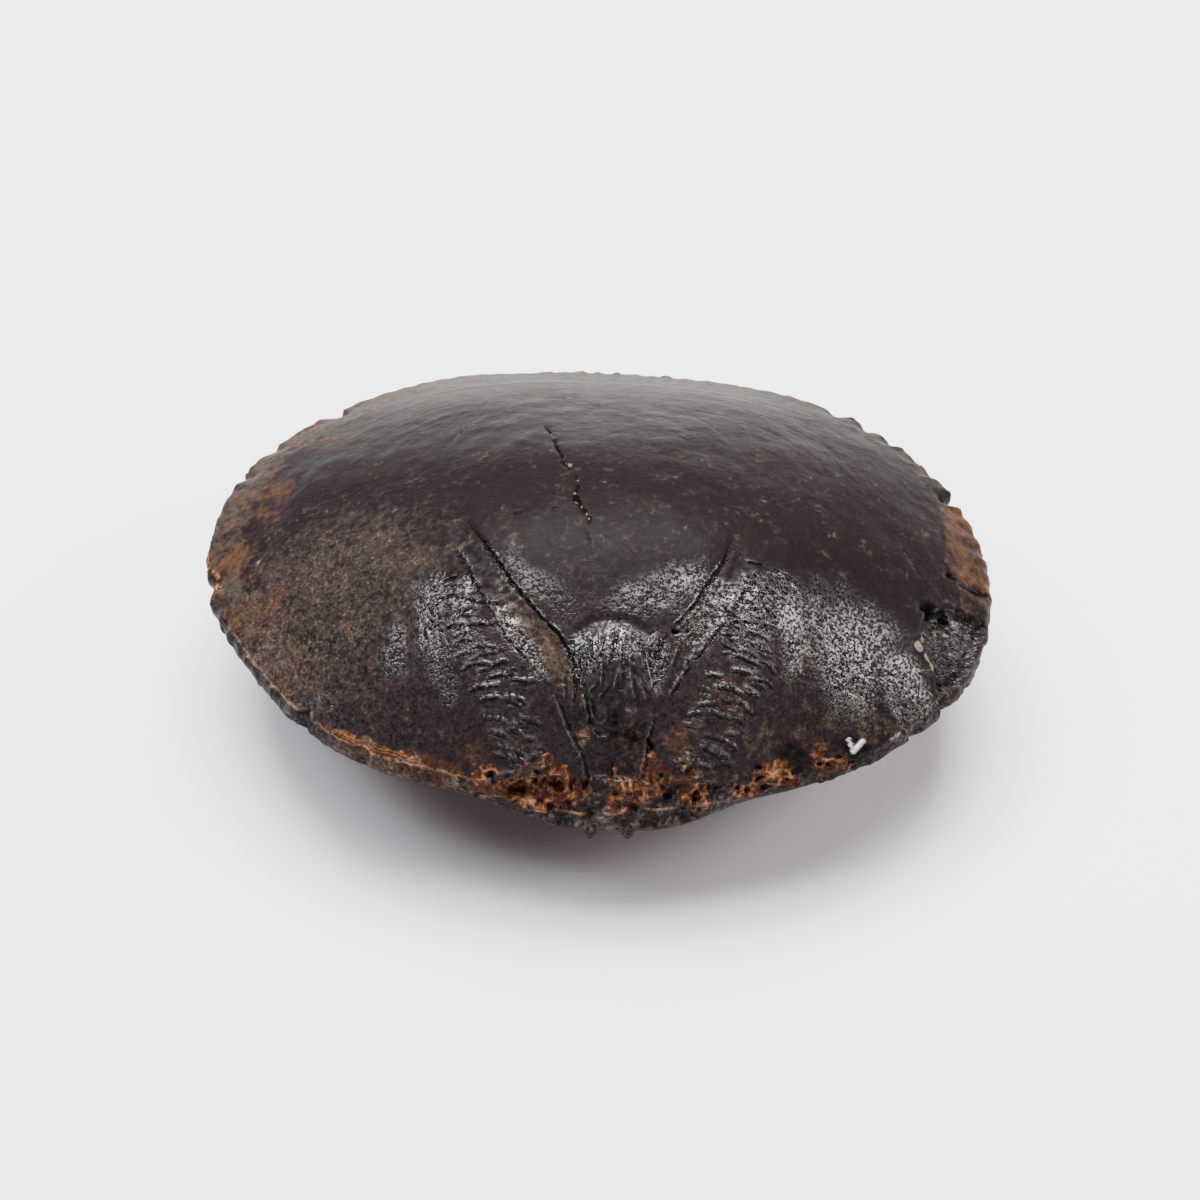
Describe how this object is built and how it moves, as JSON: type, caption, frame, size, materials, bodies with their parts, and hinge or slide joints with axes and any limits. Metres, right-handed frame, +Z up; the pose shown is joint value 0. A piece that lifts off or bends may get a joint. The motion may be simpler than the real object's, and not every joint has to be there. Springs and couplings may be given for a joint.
{
  "type": "brachiopod fossil",
  "caption": "Dark ironstone cast of a whole brachiopod, lens-shaped, with slots, pitted fields and a knob behind the crest, a rough rusty hinge and a finely ribbed, chipped margin.",
  "frame": {"origin": "on the surface it rests on, under the middle of the stone's box", "axes": "+X to the right when the hinge is nearest, along the long side; +Y from the hinge to the front margin; +Z up, from the lower valve to the upper"},
  "size_m": [0.036, 0.0278, 0.0134],
  "materials": {
    "ironstone": "satin"
  },
  "bodies": {
    "root": {"brachiopod_fossil": "ironstone"}
  },
  "joints": []
}
